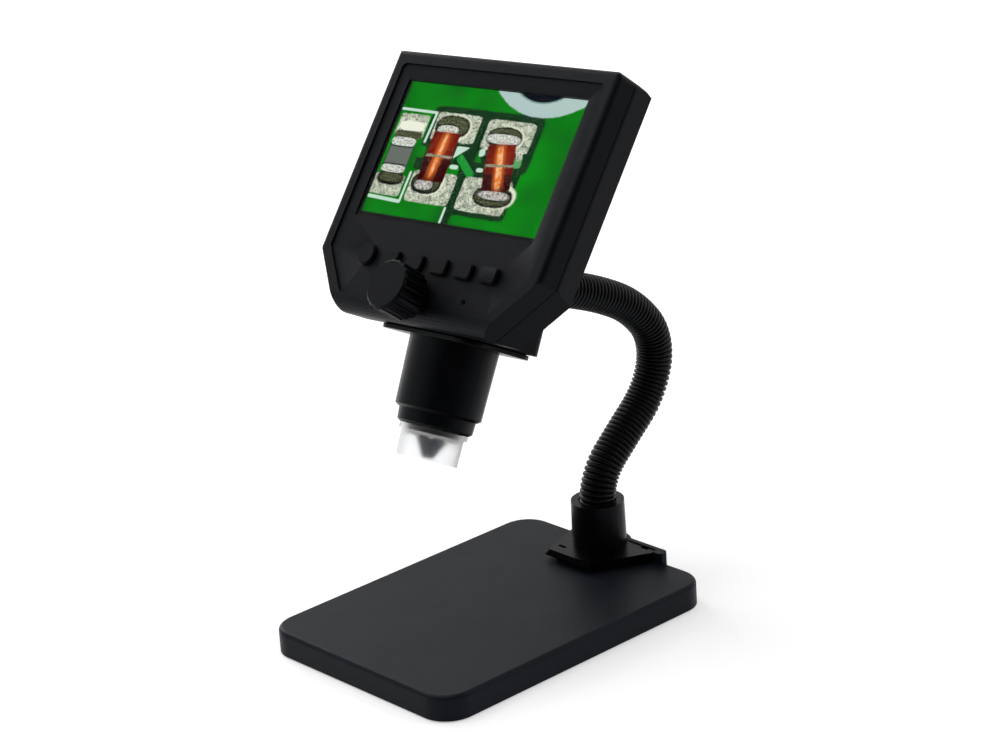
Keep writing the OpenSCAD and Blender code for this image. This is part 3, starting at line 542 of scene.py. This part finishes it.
display, screen_tree, screen_surface = new_finish("display_picture")
screen_object = screen_tree.nodes.new("ShaderNodeTexCoord").outputs["Object"]
screen_at = wired(screen_tree, "ShaderNodeSeparateXYZ", i0=screen_object).outputs
spot = wired(
    screen_tree, "ShaderNodeCombineXYZ",
    i0=calc(screen_tree, "MULTIPLY", screen_at["X"], mm_per_m),
    i1=calc(screen_tree, "MULTIPLY", screen_at["Z"], mm_per_m),
).outputs[0]
ragged_noise = wired(screen_tree, "ShaderNodeTexNoise", vector=spot, scale=1.9, detail=4.0)
ragged_way = vector_calc(screen_tree, "SUBTRACT", ragged_noise.outputs["Color"], (0.5, 0.5, 0.5))
ragged_step = wired(
    screen_tree, "ShaderNodeVectorMath", {"operation": "SCALE"}, i0=ragged_way, scale=1.7
).outputs[0]
ragged = vector_calc(screen_tree, "ADD", spot, ragged_step)


def shape(x0, y0, x1, y1, square=8.0, soft=0.03, lean_deg=0.0, rough=False):
    """The mask of a box or an oval from its left, top, right and bottom, in tenths of mm."""
    middle_x, middle_y = (x0 + x1) / tenths_to_half, (y0 + y1) / tenths_to_half
    return wired(
        screen_tree, "ShaderNodeGroup", {"node_tree": printed}, spot=ragged if rough else spot,
        centre=(middle_x - half_w_mm, half_h_mm - middle_y, 0),
        half_size=((x1 - x0) / tenths_to_half, (y1 - y0) / tenths_to_half, 1),
        turn=math.radians(lean_deg), squareness=square, softness=soft,
    ).outputs["Mask"]


def around(box, left, top, right, bottom, **form):
    """The mask of a box whose four sides are moved outward."""
    x0, y0, x1, y1 = box
    return shape(x0 - left, y0 - top, x1 + right, y1 + bottom, **form)


def any_of(*masks):
    """The masks together."""
    total = masks[0]
    for mask in masks[1:]:
        total = calc(screen_tree, "MAXIMUM", total, mask)
    return total


def both(first, second):
    """Where the two masks overlap."""
    return calc(screen_tree, "MULTIPLY", first, second)


def less(mask, hole):
    """A mask with another one cut out of it."""
    return both(mask, calc(screen_tree, "SUBTRACT", 1.0, hole))


def mottled(scale, low, high, dark, light, detail=4.0):
    """Solder and plating: a dark and a light tone broken up by noise."""
    noise = wired(
        screen_tree, "ShaderNodeTexNoise", vector=spot, scale=scale, detail=detail, roughness=0.62
    )
    return blended(screen_tree, ramp(screen_tree, noise.outputs["Fac"], low, high), dark, light)


board_green = mottled(0.05, 0.3, 0.7, (0.001, 0.13, 0.004), (0.002, 0.26, 0.005), 1.0)
trench_green = mottled(1.6, 0.5, 0.72, (0.0, 0.018, 0.003), (0.012, 0.11, 0.02))
tin = mottled(0.4, 0.35, 0.62, (0.26, 0.30, 0.22), (0.76, 0.80, 0.64), 5.0)
tarnish = mottled(1.8, 0.45, 0.68, (0.006, 0.012, 0.004), (0.26, 0.28, 0.14))
bright_metal = mottled(1.2, 0.35, 0.6, (0.20, 0.21, 0.18), (0.82, 0.86, 0.78))
ball_metal = mottled(0.9, 0.35, 0.6, (0.10, 0.09, 0.09), (0.70, 0.68, 0.64))
chip_grey = mottled(2.5, 0.35, 0.65, (0.10, 0.12, 0.10), (0.17, 0.19, 0.17))
glass_shine = mottled(0.35, 0.42, 0.58, (0.80, 0.22, 0.03), (0.88, 0.5, 0.24), 2.0)
glass_joint = mottled(2.4, 0.44, 0.56, (0.01, 0.008, 0.003), (0.55, 0.55, 0.36))
soot = (0.004, 0.006, 0.003)
crack_dark = (0.02, 0.04, 0.02)
pale_tin = (0.74, 0.78, 0.6)
fillet_tin = (0.86, 0.88, 0.74)
seam_black = (0.02, 0.025, 0.02)
bridge_green = (0.008, 0.29, 0.03)
worn_green = (0.10, 0.36, 0.12)
silk_white = (0.55, 0.74, 0.62)
ring_grey = (0.44, 0.58, 0.55)
ring_shade = (0.16, 0.26, 0.24)
hole_dark = (0.002, 0.004, 0.010)
glass_red = (0.13, 0.003, 0.001)
glass_glow = (0.24, 0.012, 0.002)
glass_deep = (0.022, 0.0, 0.001)
glass_amber = (0.62, 0.11, 0.012)
glint_white = (0.5, 0.7, 0.5)
crack_edge = (0.53, 0.60)
glint_edge = (0.66, 0.70)

cracks = wired(screen_tree, "ShaderNodeTexNoise", vector=spot, scale=1.3, detail=6.0, roughness=0.7)
crack_mask = ramp(screen_tree, cracks.outputs["Fac"], *crack_edge)
solder = blended(screen_tree, crack_mask, tin, crack_dark)

layers = [board_green]


def paint(mask, colour):
    """Lays a colour over the picture so far, where the mask is."""
    layers.append(blended(screen_tree, mask, layers[-1], colour))


# the bare board round the pads, with what is left green in it
bare_board = any_of(
    shape(180, 82, 782, 316, 12, 0.015, rough=True),
    shape(433, 290, 759, 500, 14, 0.015, rough=True),
    shape(180, 240, 300, 345, 6, 0.03, rough=True),
    shape(434, 300, 486, 560, 12, 0.04, rough=True),
)
paint(bare_board, trench_green)
paint(shape(395, 293, 523, 325, 8, 0.06, 34.8), bridge_green)
paint(shape(150, 250, 218, 297, 6, 0.05), board_green)
paint(less(shape(496, 236, 552, 286, 8, 0.05), shape(505, 190, 640, 262, 8, 0.03, -38)), board_green)
paint(shape(700, 240, 738, 290, 4, 0.08, -10), worn_green)

# tinned pads, the white print, and the plated hole at the top
paint(any_of(
    shape(212, 108, 452, 222, 12, 0.015, rough=True),
    shape(493, 112, 748, 234, 9, 0.015, rough=True),
    shape(694, 200, 726, 262, 4, 0.1, -20),
    shape(200, 347, 443, 473, 10, 0.015, rough=True),
    shape(482, 344, 742, 479, 10, 0.015, rough=True),
    shape(12, 130, 172, 222, 12, 0.015, rough=True),
    shape(0, 378, 166, 462, 12, 0.015, rough=True),
), solder)
paint(less(shape(378, 234, 448, 290, 10, 0.04), shape(367, 249, 527, 369, 16, 0.02, -36.3)), silk_white)
paint(any_of(
    shape(378, 308, 424, 326, 3, 0.1),
    shape(523, 307, 559, 324, 3, 0.1),
    shape(504, 232, 534, 262, 4, 0.1, -20),
), silk_white)
paint(any_of(
    shape(0, 108, 204, 119, 14, 0.06, 0.4),
    shape(190, 112, 203, 238, 14, 0.06, 3),
    shape(0, 470, 186, 484, 14, 0.06, 2),
    shape(178, 357, 190, 484, 14, 0.06, 0.5),
    shape(434, 475, 446, 560, 14, 0.06),
), silk_white)
paint(shape(319, -733, 1139, 87, 2, 0.003, rough=True), ring_grey)
paint(shape(470, -444, 950, 33, 2, 0.006, rough=True), ring_shade)
paint(shape(478, -436, 942, 27, 2, 0.006), hole_dark)

# the chip capacitor at the left, with its fillets
paint(shape(20, 158, 164, 200, 3, 0.12, rough=True), fillet_tin)
paint(shape(14, 198, 168, 232, 4, 0.1, rough=True), tarnish)
paint(shape(10, 364, 160, 422, 2.6, 0.12, rough=True), soot)
paint(shape(24, 372, 146, 408, 2.6, 0.2, rough=True), tarnish)
paint(shape(14, 224, 150, 374, 8, 0.02), soot)
paint(shape(18, 228, 146, 370, 8, 0.03), chip_grey)
paint(any_of(shape(15, 226, 147, 262, 3.5, 0.06), shape(14, 340, 144, 371, 3.5, 0.06)), bright_metal)
paint(any_of(shape(22, 262, 142, 267, 8, 0.3), shape(22, 334, 142, 339, 8, 0.3)), seam_black)

# the two glass diodes: fillets, end caps, and the glass with its shine
diodes = (
    {
        "fillet": (222, 119, 400, 196), "cap": (238, 158, 350, 196), "ball": (230, 380, 326, 422),
        "foot": (206, 350, 370, 438), "body": (228, 186, 371, 384), "lean": -1,
        "shine": (283, 192, 309, 374), "shine_lean": 3.5, "joint_at": 0.49, "deep_from": 0.54,
    },
    {
        "fillet": (515, 140, 692, 208), "cap": (514, 166, 690, 206), "ball": (582, 387, 742, 421),
        "foot": (556, 368, 762, 452), "body": (562, 204, 704, 388), "lean": -17,
        "shine": (617, 210, 653, 388), "shine_lean": -21, "joint_at": 0.46, "deep_from": 0.64,
    },
)
oval = {"square": 2.3, "rough": True}
end_lean = 0.28
joint_lean = 4
for diode in diodes:
    paint(around(diode["fillet"], -8, 8, 15, 26, soft=0.06, **oval), pale_tin)
    paint(around(diode["fillet"], 4, 3, 4, 14, soft=0.05, **oval), soot)
    paint(around(diode["fillet"], -5, -4, -6, 0, soft=0.08, **oval), tarnish)
    paint(around(diode["foot"], -10, 14, 15, 3, soft=0.06, **oval), pale_tin)
    paint(around(diode["foot"], 0, 0, 0, 0, soft=0.05, **oval), soot)
    paint(around(diode["foot"], -12, -10, -12, -10, soft=0.1, **oval), tarnish)
    paint(around(diode["cap"], 6, 5, 6, 5, square=2.6, soft=0.08, rough=True), soot)
    paint(around(diode["cap"], 0, 0, 0, 0, square=2.6, soft=0.12), bright_metal)
    paint(around(diode["ball"], 8, 6, 8, 6, square=2.4, soft=0.08, rough=True), soot)
    paint(around(diode["ball"], 0, 0, 0, 0, square=2.4, soft=0.14), ball_metal)

    body = diode["body"]
    lean_deg = diode["lean"]
    tall = body[3] - body[1]
    sides = around(body, 0, 60, 0, 60, square=10, lean_deg=lean_deg)
    ends = around(body, 30, 0, 30, 0, square=7, lean_deg=lean_deg * end_lean)
    tube = both(sides, ends)
    paint(tube, glass_red)
    glow = around(body, -16, -12, -22, -tall * 0.55, square=3, soft=0.5, lean_deg=lean_deg)
    paint(glow, glass_glow)

    # a deep lower half, then the shine along the tube and the joint across it
    low_half = around(
        body, 60, -tall * diode["deep_from"], 60, 60, square=20, lean_deg=lean_deg / joint_lean
    )
    paint(calc(screen_tree, "MULTIPLY", both(tube, low_half), 0.9), glass_deep)
    x0, y0, x1, y1 = diode["shine"]
    middle = (x0 + x1) / 2
    paint(shape(middle - 24, y0 + 4, middle + 24, y1 - 12, 6, 0.5, diode["shine_lean"]), glass_amber)
    paint(shape(x0 + 4, y0 + 2, x1 - 4, y1 - 6, 7, 0.18, diode["shine_lean"]), glass_shine)
    x0, y0, x1, y1 = body
    joint_y = y0 + tall * diode["joint_at"]
    joint = shape(
        x0 - 20, joint_y - 5, x1 + 20, joint_y + 5, 12, 0.2, lean_deg / joint_lean, rough=True
    )
    paint(both(tube, joint), glass_joint)

glints = wired(screen_tree, "ShaderNodeTexNoise", vector=spot, scale=2.2, detail=2.0)
glint_mask = ramp(screen_tree, glints.outputs["Fac"], *glint_edge, 0.0, 0.9)
paint(both(glint_mask, bare_board), glint_white)
screen_surface.inputs["Base Color"].default_value = (0.002, 0.002, 0.002, 1)
screen_surface.inputs["Roughness"].default_value = 0.3
screen_surface.inputs["Specular IOR Level"].default_value = 0.0
screen_surface.inputs["Emission Strength"].default_value = 1.0
screen_tree.links.new(layers[-1], screen_surface.inputs["Emission Color"])

sheet_lines = [
    [
        Vector(
            (picture_w * (u / sheet_columns - 0.5), picture_depth, picture_h * (v / sheet_rows - 0.5))
        )
        for u in range(sheet_columns + 1)
    ]
    for v in range(sheet_rows + 1)
]
placed(
    "display_sheet", grid_mesh("display_sheet", sheet_lines, closed_rings=False), display, "head",
    head_place @ Matrix.Translation(picture_shift),
)


def haze(tree, scale, detail=2.0):
    """Slow noise over a piece, in its own coordinates."""
    where = tree.nodes.new("ShaderNodeTexCoord").outputs["Object"]
    return wired(tree, "ShaderNodeTexNoise", vector=where, scale=scale, detail=detail).outputs["Fac"]


window, window_tree, window_surface = new_finish("window_glass")
window_gloss = ramp(window_tree, haze(window_tree, 60.0, 3.0), 0.4, 0.7, 0.02, 0.06)
window_tree.links.new(window_gloss, window_surface.inputs["Roughness"])
window_surface.inputs["Base Color"].default_value = (0.97, 0.98, 0.98, 1)
window_surface.inputs["Transmission Weight"].default_value = 1.0
window_surface.inputs["IOR"].default_value = 1.06
window_surface.inputs["Specular IOR Level"].default_value = 0.25
dress(window, "screen_window")

panel_black = moulded(
    "panel_black", (0.002, 0.002, 0.002), (0.004, 0.004, 0.004), (0.3, 0.4), 0.05,
    specular=0.06, dust=0.0,
)
dress(panel_black, "lcd_panel")

# ---------- keys ----------
# Six black key caps in a row, a round one at the left and five with rounded corners. Each
# is moulded, and stands on a sprung switch of the board behind the front shell.
key_plastic = moulded(
    "key_plastic", (0.0008, 0.0009, 0.0014), (0.0014, 0.0016, 0.0022), (0.4, 0.48), 0.15,
    grain_mm=0.25, blotch_mm=3.0, specular=0.08, dust=0.03,
)
key_nodes = ("power_button", "key_1", "key_2", "key_3", "key_4", "key_5")
switch_metal = metal("switch_metal", (0.3, 0.3, 0.3), (0.5, 0.5, 0.5), (0.3, 0.45))
dress(key_plastic, *key_nodes)
soften(0.25, *key_nodes, angle=35)
dress(switch_metal, "key_switches")

# ---------- focus knob and brightness wheel ----------
# The knob is moulded with deep grips round its side and a plain face, and is pressed on the
# pinion's shaft. The small wheel stands out of the left edge by a third of its width.
knob_plastic = moulded(
    "knob_plastic", (0.0006, 0.0008, 0.0012), (0.0012, 0.0014, 0.002), (0.34, 0.42), 0.15,
    grain_mm=0.3, blotch_mm=4.0, specular=0.08, dust=0.03,
)
dress(knob_plastic, "focus_knob", "brightness_wheel")
soften(0.3, "focus_knob", angle=32)

# ---------- inlets, screws and what lies inside ----------
# Pressed tin shields of the inlets, the case screws, the board with its parts and the
# flat cell under its cover.
track_edge = (0.34, 0.37)
shield = metal("tin_shield", (0.42, 0.42, 0.42), (0.62, 0.62, 0.61), (0.22, 0.35))
brass = metal("brass", (0.5, 0.33, 0.12), (0.72, 0.5, 0.22), (0.28, 0.4))
dress(shield, "usb_port", "card_slot")
dress(screw_steel, "case_screws")
dress(brass, "shaft_bush")

board_finish, board_tree, board_surface = new_finish("board_green")
tracks = wired(
    board_tree, "ShaderNodeTexVoronoi", {"distance": "CHEBYCHEV", "feature": "F1"},
    vector=board_tree.nodes.new("ShaderNodeTexCoord").outputs["Object"], scale=220.0,
)
track_mask = ramp(board_tree, tracks.outputs["Distance"], *track_edge)
track_tone = blended(board_tree, track_mask, (0.006, 0.07, 0.022), (0.012, 0.14, 0.04))
board_relief = wired(board_tree, "ShaderNodeBump", strength=0.3, distance=0.00005, height=track_mask)
board_tree.links.new(track_tone, board_surface.inputs["Base Color"])
board_tree.links.new(board_relief.outputs["Normal"], board_surface.inputs["Normal"])
board_surface.inputs["Roughness"].default_value = 0.35
dress(board_finish, "main_board", "sensor_board")

chip_black = moulded("chip_black", (0.012, 0.012, 0.012), (0.03, 0.03, 0.03), (0.45, 0.6), 0.2)
cell_foil = metal("cell_foil", (0.35, 0.36, 0.37), (0.55, 0.56, 0.57), (0.3, 0.5), scratch_mm=4.0)
dress(chip_black, "board_chips")
dress(cell_foil, "battery")

# ---------- barrel ----------
# The barrel, its plate and the nose ring are turned and moulded in black, with a satin
# skin that shows long soft highlights.
barrel_plastic = moulded(
    "barrel_plastic", (0.0006, 0.0008, 0.0012), (0.0012, 0.0014, 0.002), (0.28, 0.34), 0.08,
    grain_mm=0.3, blotch_mm=8.0, specular=0.09, dust=0.04,
)
dress(barrel_plastic, "barrel_tube", "bottom_plate", "nose_ring", "lens_carriage")
soften(0.25, "bottom_plate", angle=35)

# ---------- nose: lamps, lens cone and clear hood ----------
# Eight small white lamps on a ring-shaped board, a cone that shades the lens, and a
# tube of clear acrylic that sets the distance to what is looked at.
board_white = moulded(
    "lamp_board_white", (0.7, 0.7, 0.68), (0.8, 0.8, 0.78), (0.4, 0.5), 0.1, dust=0.0
)
cone_grey = moulded("cone_grey", (0.03, 0.035, 0.045), (0.06, 0.065, 0.08), (0.35, 0.45), 0.1)
dress(board_white, "led_board")
dress(cone_grey, "lens_nose")

lamp_glow, lamp_tree, lamp_surface = new_finish("lamp_phosphor")
lamp_tone = blended(lamp_tree, haze(lamp_tree, 1500.0), (0.82, 0.8, 0.7), (0.92, 0.9, 0.8))
lamp_tree.links.new(lamp_tone, lamp_surface.inputs["Base Color"])
lamp_surface.inputs["Roughness"].default_value = 0.35
dress(lamp_glow, "leds")

lens_glass, lens_tree, lens_surface = new_finish("lens_glass")
lens_coat = wired(lens_tree, "ShaderNodeLayerWeight", blend=0.4).outputs["Facing"]
lens_tone = blended(lens_tree, lens_coat, (0.75, 0.85, 0.95), (0.5, 0.35, 0.7))
lens_tree.links.new(lens_tone, lens_surface.inputs["Base Color"])
lens_surface.inputs["Roughness"].default_value = 0.02
lens_surface.inputs["Transmission Weight"].default_value = 1.0
dress(lens_glass, "objective_lens")

hood, hood_tree, hood_surface = new_finish("clear_acrylic")
hood_gloss = ramp(hood_tree, haze(hood_tree, 60.0), 0.35, 0.65, 0.28, 0.33)
hood_tree.links.new(hood_gloss, hood_surface.inputs["Roughness"])
hood_surface.inputs["Base Color"].default_value = (0.975, 0.98, 0.985, 1)
hood_surface.inputs["Transmission Weight"].default_value = 1.0
hood_surface.inputs["IOR"].default_value = 1.45
dress(hood, "clear_hood")
